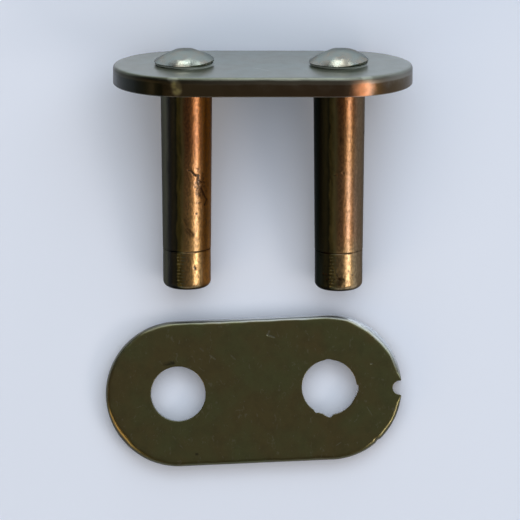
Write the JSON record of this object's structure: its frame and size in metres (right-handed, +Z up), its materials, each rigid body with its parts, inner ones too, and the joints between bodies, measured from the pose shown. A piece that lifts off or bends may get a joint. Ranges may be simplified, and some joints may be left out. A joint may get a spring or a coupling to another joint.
{
  "type": "roller chain connecting link",
  "caption": "Connecting link of a roller chain: a side plate carrying riveted pins, lying on its side, with its loose cover plate taken off and lying flat beside it.",
  "frame": {"origin": "middle of the whole set's box, on the surface that the set lies on", "axes": "+X from the left pin to the right pin, +Y from the loose plate towards the rivet heads, +Z up"},
  "size_m": [0.032, 0.0436, 0.0151],
  "materials": {
    "plate_steel": "blanked and oiled, dark olive to brown temper, worn bright on its edges",
    "pin_steel": "hardened and polished by running, bronze temper colours, fine pits and turning marks"
  },
  "bodies": {
    "root": {"riveted_plate": "plate_steel", "left_pin": "pin_steel", "right_pin": "pin_steel", "loose_plate": "plate_steel"}
  },
  "joints": []
}
